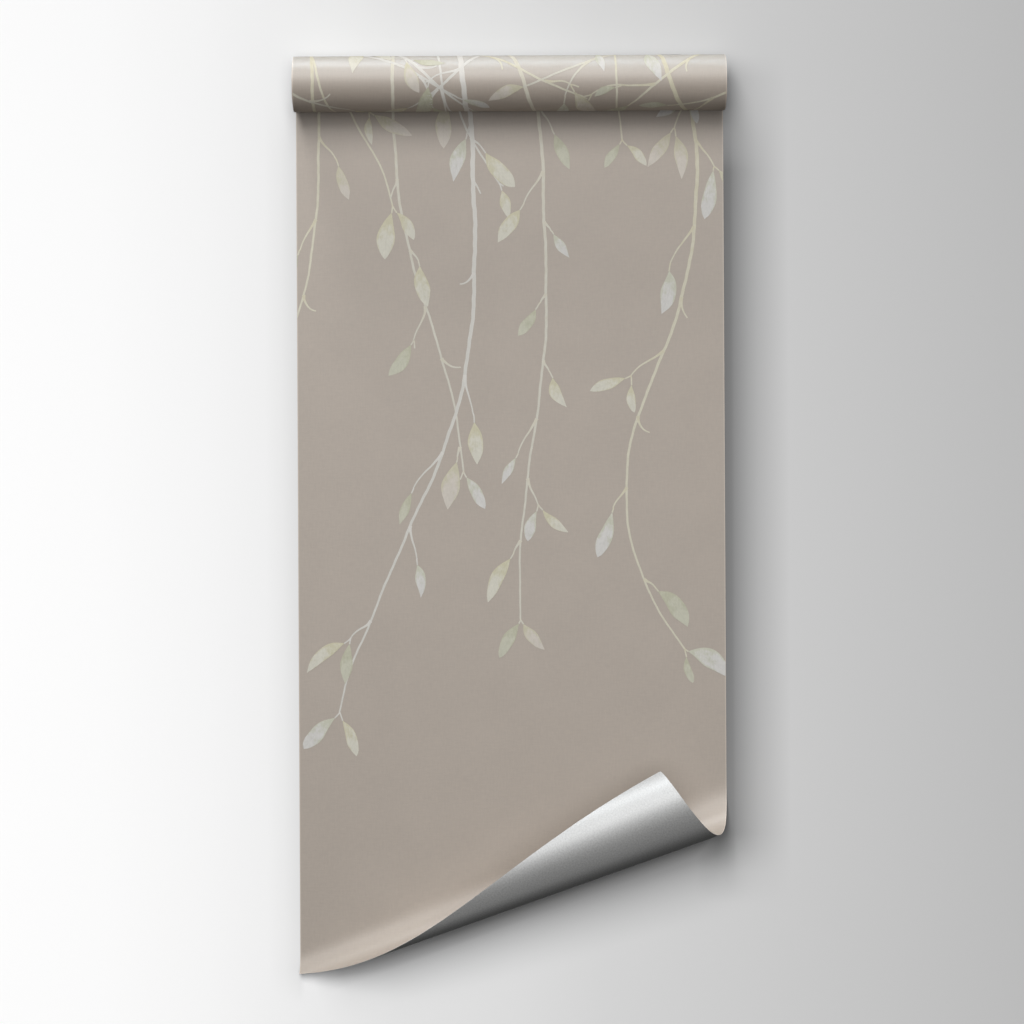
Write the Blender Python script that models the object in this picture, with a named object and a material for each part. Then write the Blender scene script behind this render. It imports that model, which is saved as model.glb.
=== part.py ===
"""A partly unrolled wallpaper panel: one printed sheet, wound up at one end and curled at one corner.

The panel lies on a flat surface at z = 0. Its width runs along X and its length along Y. The wound
roll is at +Y, with the printed side outwards. The loose end is at -Y, and its corner at +X curls up
and over. The origin is the bottom centre of the whole object's box. Metres, +Z up.

The sheet is modelled as a list of rows. A row is a straight line across the sheet, from its left edge
to its right edge, and the sheet is flat between one row and the next, as paper is when it bends.
"""

import math

import bpy
from mathutils import Matrix, Vector

# The panel, laid out flat
PANEL_WIDTH = 0.530
PANEL_LENGTH = 3.000
PAPER_THICKNESS = 0.0003

# The wound roll
ROLL_RADIUS = 0.034
ROLL_CENTRE_FROM_END = 1.100    # from the loose end to the roll's axis, along the floor
WINDING_PITCH = 0.0004          # how far one turn lies inside the last
SIDES_PER_TURN = 48
PEEL_SIDES = 5                  # the sheet leaves the roll this many sides below its front
BEND_SIDES = 12                 # sides of the small bend where the sheet turns onto the floor

# The curled corner is a cone. Its straight lines meet at an apex, outside the sheet's left edge.
CURL_APEX_OUT = 0.852           # from the sheet's left edge out to the apex
CURL_START_LEFT = 0.034         # where the first bend line meets the left edge, from the loose end
CURL_START_RIGHT = 0.248        # and where it meets the right edge
CURL_TIGHTNESS = 30.3           # a bend line's distance from the apex over its bend radius
CURL_EASE_IN = 0.018            # radians at the apex in which the bend reaches that tightness
CURL_SLACKENING = 0.105         # the part of the tightness lost by the tip
CURL_SIDES = 44

PRINTED_FACE_COLOUR = (0.402, 0.350, 0.301, 1.0)
PRINTED_FACE_ROUGHNESS = 0.75
BACKING_COLOUR = (0.420, 0.420, 0.415, 1.0)
BACKING_ROUGHNESS = 0.42
BACKING_METALLIC = 0.35

SIDE_ANGLE = 2.0 * math.pi / SIDES_PER_TURN
PEEL_ANGLE = PEEL_SIDES * SIDE_ANGLE


def smoothstep(t):
    """0 below 0, 1 above 1, and 3t^2 - 2t^3 between."""
    t = min(max(t, 0.0), 1.0)
    return t * t * (3.0 - 2.0 * t)


def roll_rows():
    """The middle of the sheet, as (y, z) points from the end of its flat stretch to its inner end.

    The roll is a spiral about its axis, outermost at the line where the sheet leaves it. From that
    line the sheet bends back the other way, on an arc that touches both the spiral and the floor.
    """
    half = PAPER_THICKNESS / 2.0
    outer = ROLL_RADIUS - half
    sides_to_bottom = 0.75 * SIDES_PER_TURN + PEEL_SIDES
    centre_y = ROLL_CENTRE_FROM_END
    centre_z = ROLL_RADIUS - WINDING_PITCH * sides_to_bottom / SIDES_PER_TURN
    bend = (centre_z - half - outer * math.sin(PEEL_ANGLE)) / (1.0 + math.sin(PEEL_ANGLE))
    bend_y = centre_y - (outer + bend) * math.cos(PEEL_ANGLE)
    bend_z = half + bend

    rows = []
    sweep = math.pi / 2.0 + PEEL_ANGLE
    for i in range(BEND_SIDES):
        angle = -math.pi / 2.0 + sweep * i / BEND_SIDES
        rows.append((bend_y + bend * math.cos(angle), bend_z + bend * math.sin(angle)))

    wound = PANEL_LENGTH - bend_y - bend * sweep
    slope = WINDING_PITCH / (2.0 * math.pi)
    total = (outer - math.sqrt(outer * outer - 2.0 * slope * wound)) / slope
    for i in range(int(total / SIDE_ANGLE) + 1):
        radius = outer - slope * i * SIDE_ANGLE
        angle = math.pi + PEEL_ANGLE - i * SIDE_ANGLE
        rows.append((centre_y + radius * math.cos(angle), centre_z + radius * math.sin(angle)))
    return rows


def span_across(apex, angle):
    """Where a line from the apex, at this angle to X, enters and leaves the flat sheet: two distances."""
    right = (PANEL_WIDTH - apex.x) / math.cos(angle)
    left = -apex.x / math.cos(angle)
    end = -apex.y / math.sin(angle)
    return max(left, end), right


def curl_angles(start, apex):
    """The bend lines' angles, from the first one round to the tip, with one through each corner."""
    tip = math.atan2(-apex.y, PANEL_WIDTH - apex.x)
    left_corner = math.atan2(-apex.y, -apex.x)
    before = max(1, round(CURL_SIDES * (start - left_corner) / (start - tip)))
    after = CURL_SIDES - before
    angles = [start + (left_corner - start) * i / before for i in range(before)]
    return angles + [left_corner + (tip - left_corner) * i / after for i in range(after + 1)]


def curl_rows():
    """The curled corner, as rows from the first bend line to the tip.

    Each row lies on a line through the apex. The line, the direction that the sheet runs on in and
    the sheet's normal turn together: a step swings them by its angle at the apex, and bends them
    about the line by the tightness times that angle.
    """
    start = math.atan2(CURL_START_RIGHT - CURL_START_LEFT, PANEL_WIDTH)
    apex = Vector((-CURL_APEX_OUT, CURL_START_LEFT - CURL_APEX_OUT * math.tan(start), 0.0))
    angles = curl_angles(start, apex)
    sweep = angles[0] - angles[-1]
    line = Vector((math.cos(start), math.sin(start), 0.0))
    normal = Vector((0.0, 0.0, 1.0))
    rows = []
    swung = 0.0
    for i, angle in enumerate(angles):
        if i:
            step = angles[i - 1] - angle
            middle = swung + step / 2.0
            slack = 1.0 - CURL_SLACKENING * middle / sweep
            bend = CURL_TIGHTNESS * smoothstep(middle / CURL_EASE_IN) * slack * step
            # The turn's axis: the swing is about the normal, and the bend about the line.
            axis = -line * bend - normal * step
            turn = Matrix.Rotation(axis.length, 3, axis)
            line = (turn @ line).normalized()
            normal = (turn @ normal).normalized()
            swung += step
        near, far = span_across(apex, angle)
        rows.append((apex + line * near, apex + line * far))
    return rows


def sheet_rows():
    """Every row of the sheet, from the curled tip to the inner end of the roll."""
    left_x, right_x = 0.0, PANEL_WIDTH
    curl = curl_rows()
    rows = []
    for left, right in reversed(curl):
        rows.append((left + Vector((0.0, 0.0, PAPER_THICKNESS / 2.0)),
                     right + Vector((0.0, 0.0, PAPER_THICKNESS / 2.0))))
    for y, z in roll_rows():
        rows.append((Vector((left_x, y, z)), Vector((right_x, y, z))))
    return rows


def centred(points):
    """The points moved so that the middle of their box is over the origin."""
    middle_x = (min(p.x for p in points) + max(p.x for p in points)) / 2.0
    middle_y = (min(p.y for p in points) + max(p.y for p in points)) / 2.0
    return [p - Vector((middle_x, middle_y, 0.0)) for p in points]


def plain_material(name, colour, roughness, metallic=0.0):
    material = bpy.data.materials.new(name)
    material.use_nodes = True
    shader = material.node_tree.nodes["Principled BSDF"]
    shader.inputs["Base Color"].default_value = colour
    shader.inputs["Roughness"].default_value = roughness
    shader.inputs["Metallic"].default_value = metallic
    return material


def make_wallpaper():
    """The sheet as one object: a face from each row to the next, given its thickness by a modifier."""
    rows = sheet_rows()
    tip = rows[0][0]
    points = [tip]
    for left, right in rows[1:]:
        points += [left, right]
    faces = [(0, 2, 1)]
    faces += [(i, i + 1, i + 3, i + 2) for i in range(1, len(points) - 2, 2)]

    mesh = bpy.data.meshes.new("wallpaper")
    mesh.from_pydata(centred(points), [], faces)
    mesh.update()
    sheet = bpy.data.objects.new("wallpaper", mesh)
    bpy.context.scene.collection.objects.link(sheet)
    mesh.materials.append(plain_material("printed_face", PRINTED_FACE_COLOUR, PRINTED_FACE_ROUGHNESS))
    mesh.materials.append(
        plain_material("backing", BACKING_COLOUR, BACKING_ROUGHNESS, BACKING_METALLIC))

    solidify = sheet.modifiers.new("paper thickness", "SOLIDIFY")
    solidify.thickness = PAPER_THICKNESS
    solidify.offset = 0.0
    solidify.use_even_offset = True
    solidify.material_offset = 1
    return sheet


def main():
    for obj in list(bpy.data.objects):
        bpy.data.objects.remove(obj)
    make_wallpaper()


main()
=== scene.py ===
# %% [markdown]
# # A partly unrolled wallpaper panel
#
# The object is one sheet of coated paper, 0.53 m wide. It is wound into a roll at its far end, lies
# flat along the middle, and curls up at one corner of its loose end. Trailing twigs are printed on
# its face, and its back is a satin silver-grey.
#
# Nearly everything here follows from one idea: paper bends but doesn't stretch. So the whole sheet is
# described by one function, `lay_on_sheet`, which takes a place on the flat, unrolled panel and says
# where that place is on the finished object. The sheet's two plies and every printed leaf are drawn
# flat first and then laid on the sheet by that function, so the print follows each bend by itself.

# %% Load the fixed frame
import math

import bmesh
import bpy
import numpy as np
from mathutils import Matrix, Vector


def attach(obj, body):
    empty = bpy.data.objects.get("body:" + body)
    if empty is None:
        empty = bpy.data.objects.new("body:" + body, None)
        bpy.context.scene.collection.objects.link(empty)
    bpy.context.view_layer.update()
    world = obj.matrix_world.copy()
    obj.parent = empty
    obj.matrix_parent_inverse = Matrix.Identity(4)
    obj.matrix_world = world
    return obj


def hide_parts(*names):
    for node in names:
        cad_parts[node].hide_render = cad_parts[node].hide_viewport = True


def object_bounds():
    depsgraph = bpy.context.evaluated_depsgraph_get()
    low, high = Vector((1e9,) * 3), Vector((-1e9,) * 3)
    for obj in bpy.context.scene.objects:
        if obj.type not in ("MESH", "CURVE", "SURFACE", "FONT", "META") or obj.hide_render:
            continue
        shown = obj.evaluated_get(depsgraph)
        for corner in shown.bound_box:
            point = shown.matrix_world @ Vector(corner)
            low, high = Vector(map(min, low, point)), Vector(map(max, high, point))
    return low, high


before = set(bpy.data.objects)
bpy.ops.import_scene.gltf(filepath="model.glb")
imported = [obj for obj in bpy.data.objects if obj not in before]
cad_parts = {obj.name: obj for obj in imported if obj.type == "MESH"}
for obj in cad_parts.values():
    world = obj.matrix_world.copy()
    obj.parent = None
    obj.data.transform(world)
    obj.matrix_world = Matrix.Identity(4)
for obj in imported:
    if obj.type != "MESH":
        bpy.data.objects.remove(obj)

cad_low, cad_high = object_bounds()
print("solid's box:", [round(x, 4) for x in cad_low], "to", [round(x, 4) for x in cad_high])

# %% [markdown]
# ## The sheet's driving sizes
#
# These are the panel's own sizes, in metres, and the same ones that shape the solid in the frame.
# Every other length in this lesson is worked out from them.

# %% Name the driving sizes
PANEL_WIDTH = 0.530
PANEL_LENGTH = 3.000
PAPER_THICKNESS = 0.0003

ROLL_RADIUS = 0.034
ROLL_CENTRE_FROM_END = 1.100
WINDING_PITCH = 0.0004
SOLID_SIDES_PER_TURN = 48
PEEL_SIDES = 5
PEEL_ANGLE = 2 * math.pi * PEEL_SIDES / SOLID_SIDES_PER_TURN

CURL_APEX_OUT = 0.852
CURL_START_LEFT = 0.034
CURL_START_RIGHT = 0.248
CURL_TIGHTNESS = 30.3
CURL_EASE_IN = 0.018
CURL_SLACKENING = 0.105

# %% [markdown]
# ## Where the flat stretch ends: the bend and the roll
#
# Seen from the side, the sheet leaves the floor on a small arc that bends it back over itself, and
# then it winds up on a spiral. The arc has to touch both the floor and the spiral. That fixes its
# radius: with the roll's axis at height h and its outer radius R, an arc of radius b that meets the
# roll at an angle a below the horizontal has its centre b above the floor and (R + b) sin a below
# the axis, so b = (h - R sin a) / (1 + sin a).

# %% Work out the side profile
half_paper = PAPER_THICKNESS / 2
wound_radius = ROLL_RADIUS - half_paper
turns_to_lowest = 0.75 + PEEL_SIDES / SOLID_SIDES_PER_TURN    # from the peel line round to the floor
axis_height = ROLL_RADIUS - WINDING_PITCH * turns_to_lowest
peel_sine = math.sin(PEEL_ANGLE)
bend_radius = (axis_height - half_paper - wound_radius * peel_sine) / (1 + peel_sine)
bend_y = ROLL_CENTRE_FROM_END - (wound_radius + bend_radius) * math.cos(PEEL_ANGLE)
bend_sweep = math.pi / 2 + PEEL_ANGLE
peel_length = bend_y + bend_radius * bend_sweep
spiral_slope = WINDING_PITCH / (2 * math.pi)


def wound_angle(length):
    """How far round the spiral a length of wound paper reaches, in radians.

    The radius falls evenly with the angle, so length = R t - slope t^2 / 2, solved for t.
    """
    return (wound_radius - np.sqrt(wound_radius**2 - 2 * spiral_slope * length)) / spiral_slope


total_turn = float(wound_angle(PANEL_LENGTH - peel_length))
print(f"bend radius {bend_radius * 1000:.1f} mm, flat to {bend_y:.3f} m, "
      f"{total_turn / (2 * math.pi):.2f} turns wound")

# %% [markdown]
# ## How the corner curls
#
# Paper bends only along straight lines. On a corner that is picked up and rolled over, those lines
# fan out from a point beyond the sheet, so the curl is part of a cone. Each line keeps its length and
# its angle to its neighbours. As the angle at the apex grows, three directions turn together: the
# line itself, the direction in which the sheet runs on, and the sheet's normal. The bend about the
# line is `CURL_TIGHTNESS` times as quick as the swing round the apex, which is also why the curl is
# tight at the narrow end and open at the wide one.

# %% Follow the line and the normal through the curl
curl_start = math.atan2(CURL_START_RIGHT - CURL_START_LEFT, PANEL_WIDTH)
apex_x = -CURL_APEX_OUT
apex_y = CURL_START_LEFT - CURL_APEX_OUT * math.tan(curl_start)
tip_angle = math.atan2(-apex_y, PANEL_WIDTH - apex_x)
curl_sweep = curl_start - tip_angle
CURL_STEPS = 600


def smoothstep(t):
    """0 below 0, 1 above 1, and 3t^2 - 2t^3 between."""
    t = np.clip(t, 0, 1)
    return t * t * (3 - 2 * t)


def curl_directions():
    """The swing from the curl's first line to each step's, and the line, run and normal there.

    The three directions are the rows of a matrix. One step multiplies it by the exact turn for the
    step's swing and bend: I + sin(a)/a G + (1 - cos(a))/a^2 G G, where G holds the two rates.
    """
    swings = np.linspace(0, curl_sweep, CURL_STEPS + 1)
    step = swings[1]
    middles = swings[:-1] + step / 2
    tightness = CURL_TIGHTNESS * (1 - CURL_SLACKENING * middles / curl_sweep)
    bends = tightness * smoothstep(middles / CURL_EASE_IN)
    rows = np.array([[math.cos(curl_start), math.sin(curl_start), 0],
                     [math.sin(curl_start), -math.cos(curl_start), 0],
                     [0, 0, 1]])
    found = [rows]
    for bend in bends:
        rates = step * np.array([[0, 1, 0],
                                 [-1, 0, bend],
                                 [0, -bend, 0]])
        angle = step * math.sqrt(1 + bend * bend)
        turn = (np.eye(3) + math.sin(angle) / angle * rates
                + (1 - math.cos(angle)) / angle**2 * rates @ rates)
        rows = turn @ rows
        found.append(rows)
    return swings, np.array(found)


curl_swings, curl_rows = curl_directions()
cosines = np.sum(curl_rows[1:, 2] * curl_rows[:-1, 2], axis=1)
turned = np.degrees(np.arccos(np.clip(cosines, -1, 1))).sum()
print(f"the corner turns through {turned:.0f} degrees by its tip")

# %% [markdown]
# ## One function for the whole sheet
#
# `lay_on_sheet` takes places on the flat panel. x runs across it, and v runs along it from the loose
# end. It returns the same places on the finished sheet, and `lift` moves them off the sheet's middle
# towards the printed side. The wound turns also drift a little sideways, a fraction of a millimetre,
# as they do on any roll that was wound by hand, so that the roll's ends show separate layers.

# %% Lay places of the flat panel on the finished sheet
WIND_DRIFT = 0.00035
DRIFT_WAVES = ((1.0, 0.9, 0.4), (0.6, 2.3, 1.9), (0.5, 0.31, 0.0))    # height, quickness and start
ROLL_BACK = ROLL_CENTRE_FROM_END + wound_radius - spiral_slope * (math.pi + PEEL_ANGLE) + half_paper
shift_x = cad_high.x - PANEL_WIDTH
shift_y = cad_high.y - ROLL_BACK


def drift_sideways(turn):
    """How far the roll's layers have wandered after winding by `turn` radians: a sum of slow waves."""
    waves = sum(height * np.sin(rate * turn + start) for height, rate, start in DRIFT_WAVES)
    return WIND_DRIFT * smoothstep(turn / math.pi) * waves


def lay_on_sheet(x, v, lift=0.0):
    """Places (x, v) of the flat panel, `lift` off its middle, as an array of points in space."""
    x, v, lift = (np.ravel(a).astype(float) for a in np.broadcast_arrays(x, v, lift))
    # The flat stretch: the place itself, with the normal straight up.
    point = np.stack([x, v, np.zeros_like(x)], axis=1)
    normal = np.tile([0.0, 0.0, 1.0], (len(x), 1))

    # The curl: the same distance from the apex, along the line for this swing.
    swing = curl_start - np.arctan2(v - apex_y, x - apex_x)
    curled = swing > 0
    reach = np.hypot(x - apex_x, v - apex_y)[curled, None]
    line, up = (np.stack([np.interp(swing[curled], curl_swings, curl_rows[:, row, axis])
                          for axis in range(3)], axis=1) for row in (0, 2))
    point[curled] = [apex_x, apex_y, 0] + reach * line / np.linalg.norm(line, axis=1, keepdims=True)
    normal[curled] = up / np.linalg.norm(up, axis=1, keepdims=True)

    # The bend: round its centre from straight below, with the print facing that centre.
    bent = (v > bend_y) & (v <= peel_length)
    angle = (v[bent] - bend_y) / bend_radius - math.pi / 2
    across, up = np.cos(angle), np.sin(angle)
    point[bent, 1:] = np.stack([bend_y + bend_radius * across, bend_radius * (1 + up)], axis=1)
    normal[bent] = np.stack([0 * across, -across, -up], axis=1)

    # The roll: round its axis from the peel line, on a radius that falls evenly.
    wound = v > peel_length
    turn = wound_angle(v[wound] - peel_length)
    angle = math.pi + PEEL_ANGLE - turn
    across, up = np.cos(angle), np.sin(angle)
    radius = wound_radius - spiral_slope * turn
    point[wound, 0] += drift_sideways(turn)
    point[wound, 1:] = np.stack([ROLL_CENTRE_FROM_END + radius * across,
                                 axis_height - half_paper + radius * up], axis=1)
    normal[wound] = np.stack([0 * across, across, up], axis=1)
    return point + normal * lift[:, None] + [shift_x, shift_y, half_paper]


corner_names = ("loose end, left", "curled tip", "peel line, left", "inner end, right")
corner_places = lay_on_sheet([0, PANEL_WIDTH, 0, PANEL_WIDTH], [0, 0, peel_length, PANEL_LENGTH])
for name, place in zip(corner_names, corner_places):
    print(f"{name}: {np.round(place * 1000, 1)} mm")

# %% [markdown]
# ## A grid that follows the bends
#
# A mesh of the sheet needs rows that lie along its straight lines, so that each face stays nearly
# flat. In the curl the rows are the cone's own lines, cut off where they leave the sheet. Along the
# flat stretch they swing round step by step until they run straight across, and from there they wind
# up with the roll.

# %% Set out the rows of the flat panel
CURL_ROWS = 150
FLAT_ROWS = 40
BEND_ROWS = 24
ROWS_PER_TURN = 96
COLUMNS = 12
TIP_CUT = 0.0004         # the tip is rounded off by this much, as a cut corner is
TIP_CROWDING = 1.15      # above 1, rows lie closer together near the tip


def curl_row_ends():
    """The cone's lines on the flat panel, from the tip to the first one, as (left, right) ends.

    A line at an angle to X meets the left edge, the loose end or, last of all, the right edge.
    """
    swings = np.linspace(0, 1, CURL_ROWS) ** TIP_CROWDING * curl_sweep
    angles = np.minimum(tip_angle + TIP_CUT / CURL_APEX_OUT + swings, curl_start)
    corner = math.atan2(-apex_y, -apex_x)
    angles[np.argmin(np.abs(angles - corner))] = corner
    near = np.maximum(-apex_x / np.cos(angles), -apex_y / np.sin(angles))
    far = (PANEL_WIDTH - apex_x) / np.cos(angles)
    ends = [np.stack([apex_x + reach * np.cos(angles), apex_y + reach * np.sin(angles)], axis=1)
            for reach in (near, far)]
    return np.stack(ends, axis=1)


def sheet_row_ends():
    """Every row of the panel, as an array of (left, right) ends in (x, v)."""
    curl = curl_row_ends()
    share = np.linspace(0, 1, FLAT_ROWS + 1)[1:, None, None]
    straight = np.array([[0, bend_y], [PANEL_WIDTH, bend_y]])
    flat = curl[-1] * (1 - share) + straight * share
    bend = np.linspace(bend_y, peel_length, BEND_ROWS + 1)[1:]
    turns = np.linspace(0, total_turn, round(total_turn / (2 * math.pi) * ROWS_PER_TURN) + 1)[1:]
    wound = peel_length + wound_radius * turns - spiral_slope * turns**2 / 2
    along = np.concatenate([bend, wound])
    sides = [np.stack([np.full_like(along, x), along], axis=1) for x in (0, PANEL_WIDTH)]
    return np.concatenate([curl, flat, np.stack(sides, axis=1)])


row_ends = sheet_row_ends()
print(f"{len(row_ends)} rows of {COLUMNS} faces")

# %% [markdown]
# ## Finishes: shader maths in plain Python
#
# Blender's materials are graphs of nodes. Wiring them by hand hides what they do, so this lesson
# wraps one output socket in a small class, `Signal`. Adding or multiplying two signals adds the Math
# node that does it. `Finish` holds one material, and its `node` method makes any other node. Only
# what changes over a surface is wired up. What is the same everywhere is set on the shader itself.

# %% Wrap sockets and materials
class Signal:
    """One output of a material's nodes. Arithmetic on it adds Math nodes."""

    def __init__(self, finish, socket):
        self.finish = finish
        self.socket = socket

    def maths(self, operation, first, second):
        return self.finish.node("Math", {"operation": operation}, {0: first, 1: second}, 0)

    def __add__(self, other):
        return self.maths("ADD", self, other)

    def __sub__(self, other):
        return self.maths("SUBTRACT", self, other)

    def __rsub__(self, other):
        return self.maths("SUBTRACT", other, self)

    def __mul__(self, other):
        return self.maths("MULTIPLY", self, other)

    __radd__ = __add__


class Finish:
    """A material in the making: its nodes and the one shader that they all feed."""

    def __init__(self, name, **constants):
        self.material = bpy.data.materials.new(name)
        self.material.use_nodes = True
        self.nodes = self.material.node_tree.nodes
        self.links = self.material.node_tree.links
        self.shader = self.nodes["Principled BSDF"]
        for socket, value in constants.items():
            self.shader.inputs[socket.replace("_", " ")].default_value = value

    def node(self, kind, settings, sockets, output):
        """Adds one node: its settings first, then its sockets' values or links. Returns an output."""
        node = self.nodes.new("ShaderNode" + kind)
        for setting, value in settings.items():
            if setting == "stops":
                self.set_stops(node.color_ramp, value)
            else:
                setattr(node, setting, value)
        for socket, value in sockets.items():
            self.feed(node.inputs[socket], value)
        return Signal(self, node.outputs[output])

    def set_stops(self, ramp, stops):
        for index, (place, value) in enumerate(stops):
            stop = ramp.elements[index] if index < 2 else ramp.elements.new(place)
            stop.position = place
            stop.color = (value, value, value, 1)

    def feed(self, socket, value):
        if isinstance(value, Signal):
            self.links.new(value.socket, socket)
        else:
            socket.default_value = value

    def set(self, socket, value):
        """Feeds one of the shader's own sockets."""
        self.feed(self.shader.inputs[socket], value)

    def place(self, map_name, stretch=(1, 1, 1)):
        """The piece's own map, in metres on the flat panel, stretched by a Mapping node."""
        flat = self.node("UVMap", {"uv_map": map_name}, {}, "UV")
        return self.node("Mapping", {}, {"Vector": flat, "Scale": stretch}, "Vector")

    def noise(self, place, scale, detail=2.0, roughness=0.5):
        """Smooth noise about 0, from -1 to 1 at its most."""
        sockets = {"Vector": place, "Scale": scale, "Detail": detail, "Roughness": roughness}
        return self.node("TexNoise", {"noise_dimensions": "2D"}, sockets, 0) * 2 - 1

    def ramp(self, factor, *stops):
        """A curve through the stops (place, value), as a number."""
        return self.node("ValToRGB", {"stops": stops}, {"Fac": factor}, 0)

    def mix(self, factor, first, second, blend="MIX"):
        settings = {"data_type": "RGBA", "blend_type": blend}
        return self.node("Mix", settings, {0: factor, 6: first, 7: second}, 2)

    def shade(self, colour, amount):
        """The colour made lighter or darker by an amount about 0: each part times 1 + amount."""
        bright = self.node("CombineColor", {}, {part: 1 + amount for part in range(3)}, 0)
        return self.mix(1.0, colour, bright, "MULTIPLY")

    def bump(self, height, distance):
        """A bump of a height in units of `distance` metres, fed to the shader's normal."""
        self.set("Normal", self.node("Bump", {}, {"Height": height, "Distance": distance}, 0))


def paint(red, green, blue):
    """A colour given as it looks on a screen, 0 to 255, as the linear colour that shaders use."""
    parts = np.array([red, green, blue]) / 255
    linear = np.where(parts <= 0.04045, parts / 12.92, ((parts + 0.055) / 1.055) ** 2.4)
    return (*linear, 1.0)

# %% [markdown]
# ## The two plies
#
# This kind of wallpaper is two layers pressed together: a matt printed face and a satin backing.
# Each is its own thin closed shell, half of the paper's thickness, so each can have its own finish
# and its own map, laid out in metres on the flat panel. The cut edge between them shows pale core.

# %% Turn a grid of flat places into a closed shell on the sheet
PLY_GAP = 0.00001
SHARP_EDGE = math.radians(50)


def shell_faces(rows, columns):
    """The faces of two stacked grids joined round their rim, and which layer each one is in.

    Corner (row, column) of the upper grid is number row * columns + column, and the lower grid
    follows it. Upper faces run one way round, lower faces the other, so that both point outwards.
    """
    upper = np.arange(rows * columns).reshape(rows, columns)
    lower = upper + rows * columns
    top = np.stack([upper[:-1, :-1], upper[:-1, 1:], upper[1:, 1:], upper[1:, :-1]], axis=-1)
    under = np.stack([lower[:-1, :-1], lower[1:, :-1], lower[1:, 1:], lower[:-1, 1:]], axis=-1)
    loops = [np.concatenate([side, other], axis=-1) for side, other in (
        (np.stack([upper[:-1, 0], upper[1:, 0]], -1), np.stack([lower[1:, 0], lower[:-1, 0]], -1)),
        (np.stack([upper[1:, -1], upper[:-1, -1]], -1), np.stack([lower[:-1, -1], lower[1:, -1]], -1)),
        (np.stack([upper[0, 1:], upper[0, :-1]], -1), np.stack([lower[0, :-1], lower[0, 1:]], -1)),
        (np.stack([upper[-1, :-1], upper[-1, 1:]], -1), np.stack([lower[-1, 1:], lower[-1, :-1]], -1)))]
    faces = np.concatenate([top.reshape(-1, 4), under.reshape(-1, 4), *loops])
    layer = np.full(len(faces), 2)
    layer[:top.size // 4] = 0
    layer[top.size // 4:top.size // 2] = 1
    return faces, layer


def add_object(name, mesh):
    piece = bpy.data.objects.new(name, mesh)
    bpy.context.scene.collection.objects.link(piece)
    return piece


def make_ply(name, low, high, finishes):
    """One ply, from `low` to `high` off the sheet's middle, with finishes for its face, back and rim."""
    share = np.linspace(0, 1, COLUMNS + 1)[:, None]
    flat = row_ends[:, None, 0] * (1 - share) + row_ends[:, None, 1] * share
    x, v = flat[..., 0], flat[..., 1]
    points = np.concatenate([lay_on_sheet(x, v, high), lay_on_sheet(x, v, low)])
    faces, layer = shell_faces(*x.shape)
    mesh = bpy.data.meshes.new(name)
    mesh.from_pydata(points, [], faces.tolist())
    mesh.polygons.foreach_set("material_index", layer)
    both = np.tile(flat.reshape(-1, 2), (2, 1))
    mesh.uv_layers.new(name="panel").uv.foreach_set("vector", both[faces].astype(np.float32).ravel())
    for finish in finishes:
        mesh.materials.append(finish.material)
    mesh.shade_smooth()
    mesh.set_sharp_from_angle(angle=SHARP_EDGE)
    print(f"{name}: {len(points)} points, {len(faces)} faces")
    return add_object(name, mesh)


# %% [markdown]
# ## What the plies look like
#
# The printed ground is a matt taupe. Real ones are never one flat colour: the ink takes unevenly over
# a hand's breadth, and the embossed base shows as a faint weave of strokes along and across the
# panel. The backing is a satin silver-grey with a fine speckle, glossy enough for the curl to shade
# from bright to dark. The core shows only at the cut edges, pale and fibrous.

# %% Mix the finishes of the plies
GROUND = paint(171, 160, 149)
SILVER = paint(204, 204, 203)
CORE = paint(228, 224, 216)
# the width of the painted highlight along the ground's cut edges, in metres
EDGE_HIGHLIGHT_WIDTH = 0.0014
# Noise patterns, in waves per metre of paper.
WEAVE_ACROSS = (85, 480, 1)
WEAVE_ALONG = (480, 85, 1)
FIBRES = (400, 2500, 1)
HAND_BREADTH = 16.0
GROUND_GRAIN = 1500.0
SILVER_DRIFT = 12.0
SILVER_SPECKLE = 480.0
# How deep the finest relief is, in metres.
GROUND_RELIEF = 0.00002
SILVER_RELIEF = 0.00003


def make_ground():
    """Matt taupe: broad mottling, a faint two-way weave, fine grain, and a painted highlight along the
    cut edges.
    """
    finish = Finish("taupe_ground", Specular_IOR_Level=0.6)
    flat = finish.place("panel")
    across = finish.noise(finish.place("panel", WEAVE_ACROSS), 1.0)
    along = finish.noise(finish.place("panel", WEAVE_ALONG), 1.0)
    weave = across + along
    mottling = finish.noise(flat, HAND_BREADTH, detail=3.0)
    grain = finish.noise(flat, GROUND_GRAIN, detail=1.0)
    x = finish.node("SeparateXYZ", {}, {"Vector": flat}, "X")
    v = finish.node("SeparateXYZ", {}, {"Vector": flat}, "Y")
    to_edge = x.maths("MINIMUM", x.maths("MINIMUM", x, PANEL_WIDTH - x), v) * (1 / EDGE_HIGHLIGHT_WIDTH)
    # painted highlight: the ground paler near every cut edge, standing in for light catching the rim
    edge_highlight = finish.ramp(to_edge, (0.0, 0.42), (0.5, 0.30), (1.0, 0.0))
    unevenness = mottling * 0.04 + weave * 0.045 + grain * 0.03
    finish.set("Base Color", finish.shade(GROUND, unevenness + edge_highlight))
    finish.set("Roughness", 0.46 + weave * 0.04)
    finish.bump(weave + grain, GROUND_RELIEF)
    return finish


def make_silver():
    """Satin silver-grey: a speckle of fine grain over a slow drift, part of the way to metal."""
    finish = Finish("silver_backing", Metallic=0.3, Specular_IOR_Level=0.5)
    flat = finish.place("panel")
    speckle = finish.noise(flat, SILVER_SPECKLE, detail=3.0, roughness=0.75)
    drift = finish.noise(flat, SILVER_DRIFT)
    finish.set("Base Color", finish.shade(SILVER, speckle * 0.34 + drift * 0.03))
    finish.set("Roughness", 0.50 + speckle * 0.08)
    finish.bump(speckle, SILVER_RELIEF)
    return finish


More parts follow.
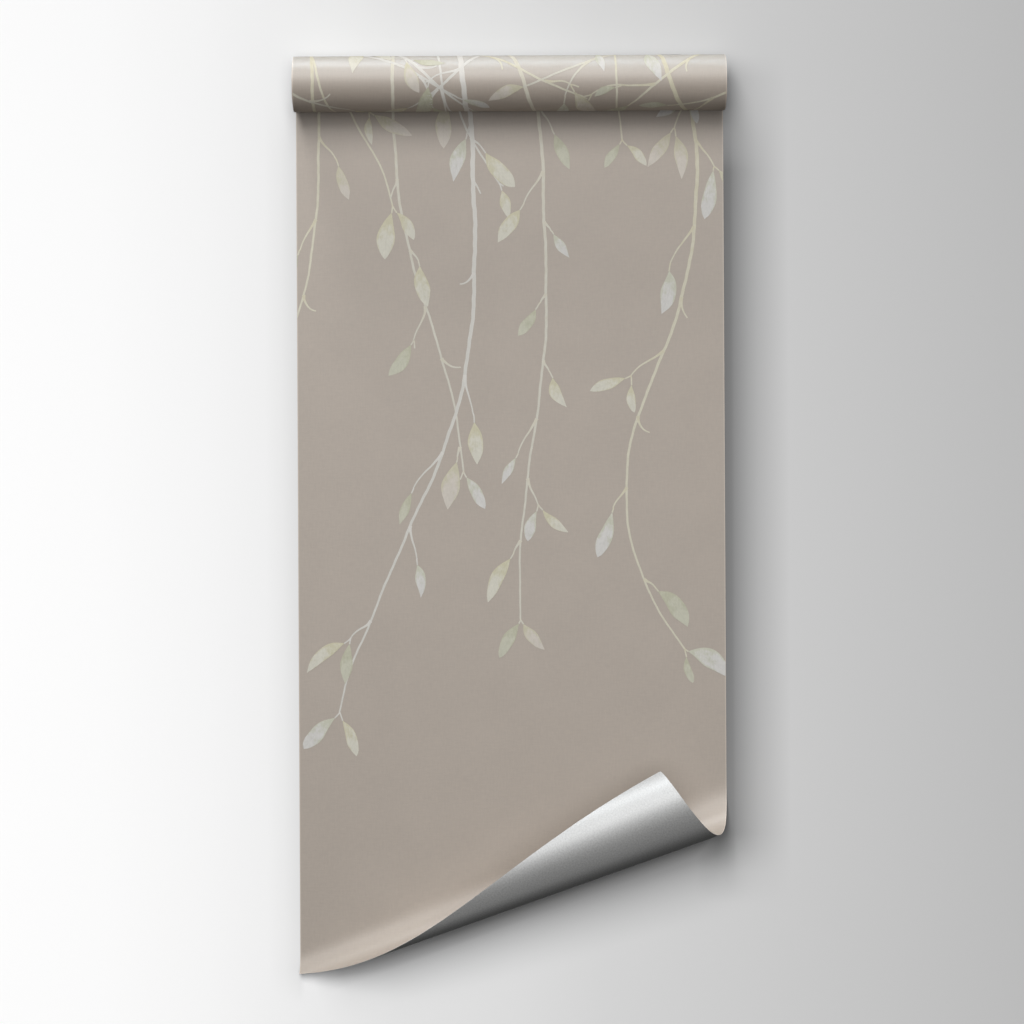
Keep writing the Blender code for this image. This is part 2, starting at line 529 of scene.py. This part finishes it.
def make_core():
    """Pale paper core, seen only on the cut edges, with fibres along the sheet."""
    finish = Finish("paper_core", Roughness=0.85, Specular_IOR_Level=0.3)
    fibres = finish.noise(finish.place("panel", FIBRES), 1.0)
    finish.set("Base Color", finish.shade(CORE, fibres * 0.08))
    return finish


ground, silver, core = make_ground(), make_silver(), make_core()
face_ply = make_ply("printed_face", PLY_GAP, half_paper, (ground, core, core))
back_ply = make_ply("silver_backing", -half_paper, -PLY_GAP, (core, silver, core))

# %% [markdown]
# ## The print: strokes of a brush
#
# The twigs are printed in pale ink that stands a little proud of the ground, as thick screen-printing
# ink does. They are drawn here as a painter would: long thin strokes for the stems, short twigs off
# them, and a leaf at each twig's end. Every stroke is a narrow strip of faces on the flat panel.
# `walk` follows its middle line: a heading that changes evenly between a few given values, summed up
# step by step. A heading of 0 hangs straight down the panel, and 90 points right.
#
# Chance places the twigs and shapes the leaves, from one seeded generator, so that every run draws
# the same print.

# %% Draw strokes on the flat panel
PRINT_LIFT = 0.00005        # the ink's underside above the paper, clear of the roll's flat facets
STROKE_RISE = 0.0000006     # each later stroke lies this much higher, so no two share a plane
STROKE_STEP = 0.0025
FLARE_LENGTH = 0.006        # a twig's foot narrows over about this length
STEM_TAPER = 0.95           # 1 narrows a stem evenly, and less narrows its foot sooner
EDGE_WAVES = ((0.12, 150), (0.10, 370))     # a share of the stem's width, and radians per metre
SWAY, SWAY_RATE = 0.0007, 60                # metres to each side, and radians per metre
LEAF_ROWS = 14
LEAF_COLUMNS = 6
LEAF_BASE_POWER = 1.02      # above 1 the leaf's foot is drawn in towards its stalk
LEAF_POINT = 0.03           # the foot and the point keep this share of the widest half width
LEAF_UNEVENNESS = 0.08      # how far the outline wavers, as a share of the half width
LEAF_ROOM = 0.026           # no two leaves have their middles nearer than this
draw = np.random.default_rng(21)
stems, leaves, leaf_middles = [], [], []


def walk(start, headings, length, count):
    """Evenly spaced points along a stroke: how far along, where, and the heading in radians there.

    Each step goes its own length along (sin h, -cos h), and a point is the sum of the steps before it.
    """
    share = np.linspace(0, 1, count + 1)
    heading = np.radians(np.interp(share, np.linspace(0, 1, len(headings)), headings))
    steps = length / count * np.stack([np.sin(heading), -np.cos(heading)], axis=1)
    middles = (steps[:-1] + steps[1:]) / 2
    return share, np.concatenate([[start], start + np.cumsum(middles, axis=0)]), heading


def brush(strokes, centre, heading, left, right, columns, inks):
    """Adds one stroke: across it, `columns` faces from `left` to `right` of its middle line."""
    across = np.linspace(-1, 1, columns + 1)
    reach = np.where(across < 0, left[:, None], right[:, None]) * across
    side = np.stack([np.cos(heading), np.sin(heading)], axis=1)
    flat = centre[:, None] + reach[..., None] * side[:, None]
    share = np.linspace(0, 1, len(centre))
    own = np.stack(np.broadcast_arrays(share[:, None], across), axis=-1)
    root, tip = (np.broadcast_to(ink, (*own.shape[:2], 4)) for ink in inks)
    strokes.append((flat, own, root, tip))


def draw_stem(start, headings, length, base_width, tip_width, inks, flare=0.0):
    """A stem that tapers, with a little sway and the uneven edge of a hand-held brush."""
    count = max(round(length / STROKE_STEP), 6)
    share, centre, heading = walk(start, headings, length, count)
    half = (base_width + (tip_width - base_width) * share**STEM_TAPER) / 2
    half = half * (1 + flare * np.exp(-share * length / FLARE_LENGTH))
    beat = draw.uniform(0, 6, 4)
    waver = sum(size * np.sin(length * rate * share + start)
                for (size, rate), start in zip(EDGE_WAVES, beat))
    sway = SWAY * np.sin(length * SWAY_RATE * share + beat[2]) * smoothstep(share * 4)
    centre = centre + sway[:, None] * np.stack([np.cos(heading), np.sin(heading)], axis=1)
    brush(stems, centre, heading, half * (1 + waver), half * (1 - 0.6 * waver), 2, inks)
    return share, centre, np.degrees(heading)


def draw_leaf(start, heading, length, slimness, bend, inks):
    """A pointed leaf. Its half width is its widest times (t / w)^a ((1 - t) / (1 - w))^b, where w is
    where it is widest, and b follows from a so that the peak is there. The two halves differ a little.
    A leaf that would crowd an earlier one is left out.
    """
    headings = [heading - bend, heading + 0.2 * bend, heading + 0.9 * bend]
    share, centre, turned = walk(start, headings, length, LEAF_ROWS)
    middle = centre[LEAF_ROWS // 2]
    if any(np.hypot(*(middle - other)) < LEAF_ROOM for other in leaf_middles):
        return
    leaf_middles.append(middle)
    widest = draw.uniform(0.44, 0.60)
    tip_power = LEAF_BASE_POWER * (1 - widest) / widest
    outline = (share / widest) ** LEAF_BASE_POWER * ((1 - share) / (1 - widest)) ** tip_power
    beat = draw.uniform(0, 6, 2)
    half = slimness * length / 2 * np.maximum(outline, LEAF_POINT)
    fuller = draw.uniform(-0.22, 0.22)
    left = half * (1 + fuller + LEAF_UNEVENNESS * np.sin(9 * share + beat[0]))
    right = half * (1 - fuller + LEAF_UNEVENNESS * np.sin(8 * share + beat[1]))
    brush(leaves, centre, turned, left, right, LEAF_COLUMNS, inks)


# %% [markdown]
# ## The print: inks, twigs and sprays
#
# The inks are four pale washes, each from a deeper root colour to a lighter tip. A twig leaves its
# stem at an angle and bends back down, and it ends in one leaf or a pair. Twigs follow each other
# down a spray on alternate sides, at distances that vary, and some are left bare. Of a twig's kinds,
# `TWIG_KINDS` gives the shortest and longest length and the number of leaves, and `TWIG_SHARES` how
# common each is.

# %% Mix the inks and draw one spray
SAGE = (paint(183, 182, 160), paint(192, 191, 174))
CREAM = (paint(199, 194, 168), paint(206, 203, 190))
ICE = (paint(195, 195, 178), paint(205, 203, 199))
BLUSH = (paint(196, 191, 168), paint(201, 194, 184))
LEAF_INKS = (SAGE, SAGE, CREAM, CREAM, ICE, ICE, BLUSH)
SAGE_STEM = (paint(205, 200, 184), paint(203, 200, 188))
CREAM_STEM = (paint(203, 197, 174), paint(204, 200, 182))
WHITE_STEM = (paint(211, 208, 202), paint(204, 202, 195))
STEM_TIP = 0.0021
TWIG_WIDTH = 0.0027
TWIG_TIP = 0.0016
STALK_WIDTH = 0.0018
LONG_TWIG = 0.060           # a twig longer than this carries a leaf half way
SPRAY_END = 0.03            # no twig leaves a spray nearer to its tip than this
TWIG_KINDS = (
    ((0.020, 0.030), 0),
    ((0.010, 0.018), 1),
    ((0.030, 0.058), 1),
    ((0.030, 0.055), 2),
    ((0.070, 0.100), 2),
)
TWIG_SHARES = (0.20, 0.18, 0.30, 0.20, 0.12)


def draw_leaves(start, heading, count, inks, size=1.0):
    """One leaf nearly straight on, or two spread about the heading, each on a short stalk."""
    spread = np.linspace(-1, 1, count) * draw.uniform(20, 40) if count > 1 else [draw.uniform(-14, 14)]
    for lean in spread:
        out = heading + lean * 0.8
        stalk = draw.uniform(0.005, 0.012)
        _, foot, turned = draw_stem(start, (out, heading + lean), stalk, STALK_WIDTH, STALK_WIDTH, inks)
        length = size * draw.uniform(0.034, 0.062)
        slimness, bend = draw.uniform(0.26, 0.37), draw.uniform(-22, 22)
        wash = LEAF_INKS[draw.integers(len(LEAF_INKS))]
        draw_leaf(foot[-1], turned[-1], length, slimness, bend, wash)


def draw_twig(start, heading, side, length, inks, leaf_count):
    """A twig off to one side that bends back towards straight down, and what it ends in.

    A bare one curls outwards instead. A long one carries a leaf on the way.
    """
    lean = side * draw.uniform(26, 50)
    headings = (heading + lean * 0.6, heading + lean, heading * 0.5 + lean * 0.5)
    if leaf_count == 0:
        headings = (heading + lean * 0.4, heading + lean, heading + lean * 1.9)
    share, centre, turned = draw_stem(start, headings, length, TWIG_WIDTH, TWIG_TIP, inks, flare=0.7)
    if length > LONG_TWIG:
        half_way = len(share) // 2
        draw_leaves(centre[half_way], turned[half_way] - side * 30, 1, inks, size=0.8)
    if leaf_count:
        draw_leaves(centre[-1], turned[-1], leaf_count, inks)


def draw_spray(start, headings, length, width, inks, gap, first, end=2):
    """A long stem with twigs on alternate sides, `gap` apart on average, from `first` along it."""
    share, centre, turned = draw_stem(start, headings, length, width, STEM_TIP, inks)
    place = first
    side = draw.choice([-1, 1])
    while place < length - SPRAY_END:
        at = np.searchsorted(share * length, place)
        reach, leaf_count = TWIG_KINDS[draw.choice(len(TWIG_KINDS), p=TWIG_SHARES)]
        draw_twig(centre[at], turned[at], side, draw.uniform(*reach), inks, leaf_count)
        side = -side
        place += gap * draw.uniform(0.6, 1.4)
    draw_leaves(centre[-1], turned[-1], end, inks)


# %% [markdown]
# ## The print: the layout
#
# Each line below is one spray: where it starts on the flat panel, the headings that it passes
# through, its length, its width and its ink. The long ones hang from where the roll's outer turn
# ends to different depths, so the lower part of the panel stays bare. Each has its own gap between
# twigs. The short ones cross them on the roll, and end in one leaf or two.

# %% Lay out the sprays
OUTER_TURN = 0.985          # the print stops this far round the roll, just before the sheet is covered
TOP = peel_length + 2 * math.pi * wound_radius * OUTER_TURN
FIRST_TWIG = (0.20, 0.27)   # the range of a hanging spray's first twig, along it
CROSSING_GAP = 0.055
CROSSING_FIRST = 0.035
HANGING = (
    (0.020, (4, 0, 3, 2, -2, -6, -14, -18), 0.52, 0.0046, CREAM_STEM, 0.085),
    (0.008, (6, 10, 16, 26, 30, 12), 0.36, 0.0030, CREAM_STEM, 0.16),
    (0.124, (-3, 1, -2, 2, 8, 16, 18, 12, 4), 0.68, 0.0044, SAGE_STEM, 0.085),
    (0.168, (4, 6, 8, 14, 28, 34), 0.33, 0.0030, WHITE_STEM, 0.12),
    (0.206, (-6, 4, 6, 2, 1, -3, -10, -20, -26, -22, -24, -12), 1.00, 0.0070, WHITE_STEM, 0.095),
    (0.226, (20, 26, 14, 4, 1, 2, -4, -9, -8, -4, 4), 0.87, 0.0050, SAGE_STEM, 0.095),
    (0.404, (-8, -3, 4, 6), 0.26, 0.0028, CREAM_STEM, 0.30),
    (0.448, (-10, 10, 24, 6, -3, -10, -20, -24, -8, 8, 26, 36), 0.93, 0.0056, CREAM_STEM, 0.085),
)
CROSSING = (
    (0.070, 1.215, (56, 62, 58), 0.150, 0.0046, WHITE_STEM, 1),
    (0.128, 1.205, (40, 46, 50), 0.120, 0.0046, WHITE_STEM, 1),
    (0.228, 1.200, (-42, -46, -52), 0.110, 0.0042, WHITE_STEM, 1),
    (0.215, 1.215, (54, 60, 70), 0.160, 0.0034, CREAM_STEM, 1),
    (0.395, 1.205, (-58, -64, -70), 0.120, 0.0032, SAGE_STEM, 1),
    (0.508, 1.215, (-40, -50, -48), 0.130, 0.0046, CREAM_STEM, 1),
    (-0.010, 1.150, (58, 66, 76), 0.085, 0.0032, SAGE_STEM, 1),
    (0.545, 1.150, (-60, -72, -80), 0.080, 0.0032, CREAM_STEM, 1),
    (0.030, 1.275, (60, 70, 60), 0.110, 0.0040, CREAM_STEM, 2),
    (0.330, 1.280, (50, 62, 54), 0.120, 0.0040, SAGE_STEM, 2),
)
for x, headings, length, width, inks, gap in HANGING:
    draw_spray((x, TOP), headings, length, width, inks, gap, draw.uniform(*FIRST_TWIG))
for x, v, headings, length, width, inks, end in CROSSING:
    draw_spray((x, v), headings, length, width, inks, CROSSING_GAP, CROSSING_FIRST, end)
print(f"{len(stems)} stems and twigs, {len(leaves)} leaves")

# %% [markdown]
# ## The print: from flat strokes to thin shells on the sheet
#
# A press prints over the panel's edge and the paper is then trimmed, so strokes that run past an edge
# are cut off there. A Solidify modifier could thicken what is left once it is on the sheet, but it
# would work from the rough normals of narrow strips. Here the thickness is added while the strokes
# are flat and their normal is simply up: a copy of each is raised by the ink's depth, and the two
# are joined round their rims. Only then is the closed shell laid on the sheet.

# %% Trim the strokes and lay them on the sheet
INK_THICKNESS = 0.00003
TRIM = 0.0003               # the ink stops this far inside the cut edge
MERGE = 1e-7                # points nearer than this to a cut count as on it


def grid_faces(rows, columns):
    """The faces of one grid of points, all the same way round."""
    number = np.arange(rows * columns).reshape(rows, columns)
    around = [number[:-1, :-1], number[1:, :-1], number[1:, 1:], number[:-1, 1:]]
    return np.stack(around, axis=-1).reshape(-1, 4)


def flat_strokes(name, strokes, first_lift):
    """All strokes in one mesh on the flat panel, z holding each one's lift. The mesh carries a map of
    the panel, a map of each stroke (how far along it and across it) and its two inks.
    """
    faces, start = [], 0
    for flat, *_ in strokes:
        faces.append(grid_faces(*flat.shape[:2]) + start)
        start += flat.shape[0] * flat.shape[1]
    faces = np.concatenate(faces)
    flat, own, root, tip = (np.concatenate([part.reshape(-1, part.shape[-1]) for part in parts])
                            for parts in zip(*strokes))
    sizes = [stroke[0].shape[0] * stroke[0].shape[1] for stroke in strokes]
    lift = first_lift + STROKE_RISE * np.repeat(np.arange(len(strokes)), sizes)
    mesh = bpy.data.meshes.new(name)
    mesh.from_pydata(np.column_stack([flat, lift]), [], faces.tolist())
    for layer, values in (("panel", flat), ("stroke", own)):
        mesh.uv_layers.new(name=layer).uv.foreach_set("vector", values[faces].astype(np.float32).ravel())
    for layer, values in (("root_ink", root), ("tip_ink", tip)):
        colours = mesh.attributes.new(layer, "FLOAT_COLOR", "POINT").data
        colours.foreach_set("color", values.astype(np.float32).ravel())
    return mesh


def trim_and_thicken(mesh):
    """Cuts the flat mesh along the panel's two sides and where the roll's outer turn ends, then
    raises a copy of each stroke by the ink's thickness and joins the two round their rims.
    """
    shape = bmesh.new()
    shape.from_mesh(mesh)
    cuts = (((TRIM, 0, 0), (-1, 0, 0)), ((PANEL_WIDTH - TRIM, 0, 0), (1, 0, 0)), ((0, TOP, 0), (0, 1, 0)))
    for place, outward in cuts:
        everything = shape.verts[:] + shape.edges[:] + shape.faces[:]
        bmesh.ops.bisect_plane(shape, geom=everything, dist=MERGE, plane_co=place, plane_no=outward,
                               clear_outer=True)
    raised = bmesh.ops.extrude_face_region(shape, geom=shape.faces[:], use_keep_orig=True)
    points = [part for part in raised["geom"] if isinstance(part, bmesh.types.BMVert)]
    bmesh.ops.translate(shape, verts=points, vec=(0, 0, INK_THICKNESS))
    bmesh.ops.recalc_face_normals(shape, faces=shape.faces[:])
    shape.to_mesh(mesh)
    shape.free()


def make_print(name, strokes, first_lift, finish):
    """One piece of print: its strokes as shells on the flat panel, then laid on the sheet's face."""
    mesh = flat_strokes(name, strokes, first_lift)
    trim_and_thicken(mesh)
    flat = np.empty(len(mesh.vertices) * 3)
    mesh.vertices.foreach_get("co", flat)
    flat = flat.reshape(-1, 3)
    laid = lay_on_sheet(flat[:, 0], flat[:, 1], half_paper + flat[:, 2])
    mesh.vertices.foreach_set("co", laid.ravel())
    mesh.materials.append(finish.material)
    mesh.shade_smooth()
    mesh.set_sharp_from_angle(angle=SHARP_EDGE)
    print(f"{name}: {len(mesh.vertices)} points, {len(mesh.polygons)} faces")
    return add_object(name, mesh)


# %% [markdown]
# ## What the inks look like
#
# A watercolour wash is never even. The root colour runs into the tip colour in patches and streaks,
# pigment settles in the paper's hollows, and each stroke dries with a slightly different rim. In a
# leaf the brush leaves a faint middle rib. Both colours come with the mesh, as attributes.

# %% Mix the finish of the print
# Noise patterns, in waves per metre of paper.
POOLING = 85.0
STREAKS = (420, 130, 1)
INK_GRAIN = 900.0
INK_RELIEF = 0.00002        # how deep the finest relief is, in metres
VEINS = 55.0                # radians from a leaf's foot to its point
VEIN_SLANT = 9.0            # radians from its rib to its rim


def make_ink(name, veins):
    """Pale ink: two washes mixed along the stroke, with pooling, grain and a rim."""
    finish = Finish(name, Specular_IOR_Level=0.4)
    root = finish.node("Attribute", {"attribute_name": "root_ink"}, {}, "Color")
    tip = finish.node("Attribute", {"attribute_name": "tip_ink"}, {}, "Color")
    flat = finish.place("panel")
    own = finish.place("stroke")
    along = finish.node("SeparateXYZ", {}, {"Vector": own}, "X")
    across = finish.node("SeparateXYZ", {}, {"Vector": own}, "Y")
    from_rib = across.maths("ABSOLUTE", across, 0.0)
    pooling = finish.noise(flat, POOLING, detail=4.0, roughness=0.65)
    streaks = finish.noise(finish.place("panel", STREAKS), 1.0, detail=3.0)
    grain = finish.noise(flat, INK_GRAIN, detail=2.0)
    rim = finish.ramp(from_rib, (0.0, 0.0), (0.70, 0.0), (1.0, 1.0))
    reached = along * 1.1 + pooling * 0.7 + streaks * 0.3 - rim * 0.5
    run = finish.ramp(reached, (0.10, 0.0), (0.62, 1.0))
    amount = pooling * 0.10 + streaks * 0.06 + grain * 0.04
    if veins:
        rib = finish.ramp(from_rib, (0.0, 1.0), (0.09, 0.0))
        slant = along * VEINS - from_rib * VEIN_SLANT
        side_veins = slant.maths("SINE", slant, 0.0) * (1 - rib)
        amount = amount - rib * 0.05 + side_veins * 0.012
    finish.set("Base Color", finish.shade(finish.mix(run, root, tip), amount))
    finish.set("Roughness", 0.56 + pooling * 0.06)
    finish.bump(pooling + grain * 0.5, INK_RELIEF)
    return finish


stem_print = make_print("printed_stems", stems, PRINT_LIFT, make_ink("stem_ink", veins=False))
leaf_lift = PRINT_LIFT + STROKE_RISE * len(stems)
leaf_print = make_print("printed_leaves", leaves, leaf_lift, make_ink("leaf_ink", veins=True))

# %% [markdown]
# ## The stage: a floor with soft shade
#
# The panel lies on a plain pale floor, painted brighter on the left than on the right and a little
# darker towards the roll: painted falloff of the light. A sheet in a wide soft light throws a shadow
# that is broad and blurred: wide beside the long right edge, thin beside the left one, and dark under
# the curl. A lamp big enough to blur it so much would flatten the paper's own shading. So the floor's
# finish carries these shadows as painted bands. Each is a curve across the band times a curve along
# it, and where two meet the darker one wins.

# %% Paint the floor and its bands of shade
FLOOR_SIZE = 30.0
# painted shade for the lamps' falloff: the floor's colour darker towards the roll
PAINTED_FALL_ALONG = 0.13           # how much the floor darkens per metre along the panel
VIEW_WIDTH = 1.271          # the width of floor that the camera sees
ACROSS_VIEW = (-VIEW_WIDTH / 2, VIEW_WIDTH / 2)
# Every curve below is a list of stops: a share of the way, and the value there.
# painted falloff of the light across the floor: bright on the left, darker to the right
PAINTED_FLOOR_FALLOFF = (
    (0.0, 1.0), (0.1, 0.98), (0.2, 0.93), (0.29, 0.86), (0.39, 0.775),
    (0.5, 0.73), (0.59, 0.67), (0.68, 0.635), (0.8, 0.595), (1.0, 0.525),
)

panel_right = shift_x + PANEL_WIDTH
RIGHT_BAND = (panel_right - 0.066, panel_right + 0.080)
RIGHT_ACROSS = (
    (0.0, 0.0), (0.25, 0.45), (0.452, 0.70), (0.508, 0.65), (0.535, 0.575),
    (0.652, 0.385), (0.735, 0.265), (0.882, 0.11), (1.0, 0.0),
)
RIGHT_ALONG = (
    (0.12, 0.0), (0.151, 0.3), (0.175, 0.78), (0.189, 1.0),
    (0.835, 1.0), (0.885, 0.6), (0.925, 0.4), (0.948, 0.0),
)
LEFT_BAND = (shift_x + 0.006, shift_x - 0.040)
LEFT_ACROSS = ((0.0, 0.0), (0.13, 0.13), (0.33, 0.09), (0.55, 0.045), (1.0, 0.0))
LEFT_ALONG = ((0.025, 0.0), (0.058, 1.0), (0.86, 1.0), (0.91, 0.3), (0.948, 0.0))
EDGE_SHADES = ((RIGHT_BAND, RIGHT_ACROSS, RIGHT_ALONG), (LEFT_BAND, LEFT_ACROSS, LEFT_ALONG))

CURL_LINE = (-0.136, -0.536, math.radians(20))    # a place under the curl's lower side, and its slope
CURL_BAND = (-0.05, 0.09)                         # from under the curl out over the floor
CURL_SPAN = (-0.12, 0.50)                         # along the line, from past one end to past the other
CURL_ACROSS = (
    (0.0, 0.0), (0.15, 0.5), (0.357, 0.66), (0.384, 0.62), (0.436, 0.41), (0.50, 0.20),
    (0.593, 0.13), (0.70, 0.07), (0.807, 0.03), (0.914, 0.01), (1.0, 0.0),
)
CURL_ALONG = ((0.0, 0.0), (0.06, 0.5), (0.17, 0.8), (0.30, 1.0), (0.83, 1.0), (0.95, 0.0))


def share_of(place, span):
    """How far a place is through a span: 0 at its first end, 1 at its second, evenly between."""
    return (place - span[0]) * (1 / (span[1] - span[0]))


def curl_shade(finish, x, y):
    """The band under the curl. Its line slopes, so x and y are first turned by the line's slope a:
    along it by right cos a + up sin a, and out from it by right sin a - up cos a.
    """
    line_x, line_y, slope = CURL_LINE
    right, up = x - line_x, y - line_y
    along = right * math.cos(slope) + up * math.sin(slope)
    out = right * math.sin(slope) - up * math.cos(slope)
    across_band = finish.ramp(share_of(out, CURL_BAND), *CURL_ACROSS)
    return across_band * finish.ramp(share_of(along, CURL_SPAN), *CURL_ALONG)


def make_floor():
    """A flat floor at z = 0 with painted falloff, darkened by the deepest of the three painted shadow
    bands at each place.
    """
    finish = Finish("pale_floor", Roughness=0.9, Specular_IOR_Level=0.2)
    where = finish.node("TexCoord", {}, {}, "Object")
    x = finish.node("SeparateXYZ", {}, {"Vector": where}, "X")
    y = finish.node("SeparateXYZ", {}, {"Vector": where}, "Y")
    up_view = share_of(y, ACROSS_VIEW)
    dark = curl_shade(finish, x, y)
    for band, across, along in EDGE_SHADES:
        shade = finish.ramp(share_of(x, band), *across) * finish.ramp(up_view, *along)
        dark = dark.maths("MAXIMUM", dark, shade)
    # painted falloff: lighter on the left, darker on the right and towards the roll, less the painted
    # shadow bands
    painted_falloff = finish.ramp(share_of(x, ACROSS_VIEW), *PAINTED_FLOOR_FALLOFF)
    finish.set("Base Color", finish.shade(painted_falloff, y * -PAINTED_FALL_ALONG - dark))
    half = FLOOR_SIZE / 2
    corners = [(-half, -half, 0), (half, -half, 0), (half, half, 0), (-half, half, 0)]
    mesh = bpy.data.meshes.new("floor")
    mesh.from_pydata(corners, [], [(0, 1, 2, 3)])
    mesh.materials.append(finish.material)
    return add_object("floor", mesh)


floor = make_floor()
print(f"floor: {FLOOR_SIZE:.0f} m square, with 3 bands of shade")

# %% [markdown]
# ## The stage: soft studio light
#
# A lamp for each job, as for any flat thing with a few low bends. A big key light, high beyond the
# roll, and an overhead one light the flat stretch evenly. A low rake skims the paper, so that every
# bend shows. A long narrow strip light, low down and slightly cool, draws the sheen along the top of
# the roll. The backing has two weak fills of its own, from above and from in front, because the curl
# turns it away from the key. Blender's light linking keeps each lamp to the pieces it is meant for,
# as flags and barn doors do. The floor is hidden from bounced and mirrored rays for the same reason:
# its light would wash out the shade under the curl.

# %% Light the panel
LIGHT_DISTANCE = 7.0
face_pieces = (face_ply, stem_print, leaf_print)
LAMPS = (
    # name, azimuth and elevation in degrees, size in metres, power in watts, the pieces it lights
    ("key", -12, 54, 3.85, 320, ()),
    ("overhead", 0, 88, 4.6, 150, (floor, *face_pieces)),
    ("backing_fill", 0, 88, 4.6, 30, (back_ply,)),
    ("front_fill", 180, 12, 3.0, 24, (back_ply,)),
    ("rake", -15, 9, 1.4, 250, (back_ply, *face_pieces)),
    ("floor_wash", -60, 82, 5.0, 114, (floor,)),
)
STRIP = ("strip", 0, 4, 1.2, 4.2, (face_ply, back_ply))
STRIP_DISTANCE = 1.2
STRIP_DEPTH = 0.15
COOL = (0.58, 0.82, 1.0)


def add_soft_light(name, azimuth, elevation, size, power, only_on, distance=LIGHT_DISTANCE):
    """A square area light that faces the origin. Azimuth 0 is +Y, and it grows towards +X. With
    `only_on`, it lights only those pieces.
    """
    light = bpy.data.lights.new(name, "AREA")
    light.size = size
    light.energy = power
    lamp = bpy.data.objects.new(name, light)
    a, e = math.radians(azimuth), math.radians(elevation)
    direction = np.array([math.sin(a) * math.cos(e), math.cos(a) * math.cos(e), math.sin(e)])
    lamp.location = distance * direction
    lamp.rotation_euler = (math.pi / 2 - e, 0, math.pi - a)
    bpy.context.scene.collection.objects.link(lamp)
    if only_on:
        lit = bpy.data.collections.new(name + "_lights")
        for piece in only_on:
            lit.objects.link(piece)
        lamp.light_linking.receiver_collection = lit
    return light


for lamp in LAMPS:
    add_soft_light(*lamp)
strip = add_soft_light(*STRIP, distance=STRIP_DISTANCE)
strip.shape = "RECTANGLE"
strip.size_y = STRIP_DEPTH
strip.color = COOL
floor.visible_diffuse = False
floor.visible_glossy = False
print(f"{len(LAMPS) + 1} lamps")

# %% [markdown]
# ## The stage: the camera and the room
#
# The panel lies down, so the camera looks straight down on it, from high enough to see it without
# much perspective. The lens follows from the height: a view of width w at a height h takes a focal
# length of the sensor's width times h / w. The room adds a very dim glow from all round.

# %% Set the camera and the room
CAMERA_HEIGHT = 3.70
CAMERA_FROM_END = 0.5727    # along the panel, from its loose end
CAMERA_ASIDE = 0.0006       # to the right of the panel's middle
CAMERA_TILT = math.radians(-0.3)
ROOM_GLOW = 0.02
BACKDROP = 0.62


def set_camera():
    """Straight down over the middle of the floor that the panel covers."""
    camera = bpy.data.cameras.new("camera")
    camera.lens = camera.sensor_width * CAMERA_HEIGHT / VIEW_WIDTH
    holder = bpy.data.objects.new("camera", camera)
    middle = shift_x + PANEL_WIDTH / 2
    holder.location = (middle + CAMERA_ASIDE, shift_y + CAMERA_FROM_END, CAMERA_HEIGHT)
    holder.rotation_euler = (0, 0, CAMERA_TILT)
    bpy.context.scene.collection.objects.link(holder)
    bpy.context.scene.camera = holder


def set_room():
    """A very dim glow from all round, a pale grey where the camera sees past the floor, and colours
    shown as they are.
    """
    world = bpy.data.worlds.new("room")
    world.use_nodes = True
    nodes, links = world.node_tree.nodes, world.node_tree.links
    seen = nodes.new("ShaderNodeLightPath").outputs["Is Camera Ray"]
    strength = nodes.new("ShaderNodeMapRange")
    strength.inputs["To Min"].default_value = ROOM_GLOW
    strength.inputs["To Max"].default_value = BACKDROP
    links.new(seen, strength.inputs["Value"])
    links.new(strength.outputs["Result"], nodes["Background"].inputs["Strength"])
    nodes["Background"].inputs["Color"].default_value = (1, 1, 1, 1)
    bpy.context.scene.world = world
    bpy.context.scene.view_settings.view_transform = "Standard"


set_camera()
set_room()
print(f"camera {CAMERA_HEIGHT} m up, {bpy.context.scene.camera.data.lens:.0f} mm lens")

# %% [markdown]
# ## Hand everything over to the frame
#
# Every piece rides on the object's one body. The plies stand for the solid sheet, which is hidden.

# %% Ride and replace
SLOTS = ((face_ply, "printed_face"), (back_ply, "backing"), (stem_print, "print"), (leaf_print, "print"))
for piece, slot in SLOTS:
    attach(piece, "root")
for ply in (face_ply, back_ply):
    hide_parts("wallpaper")
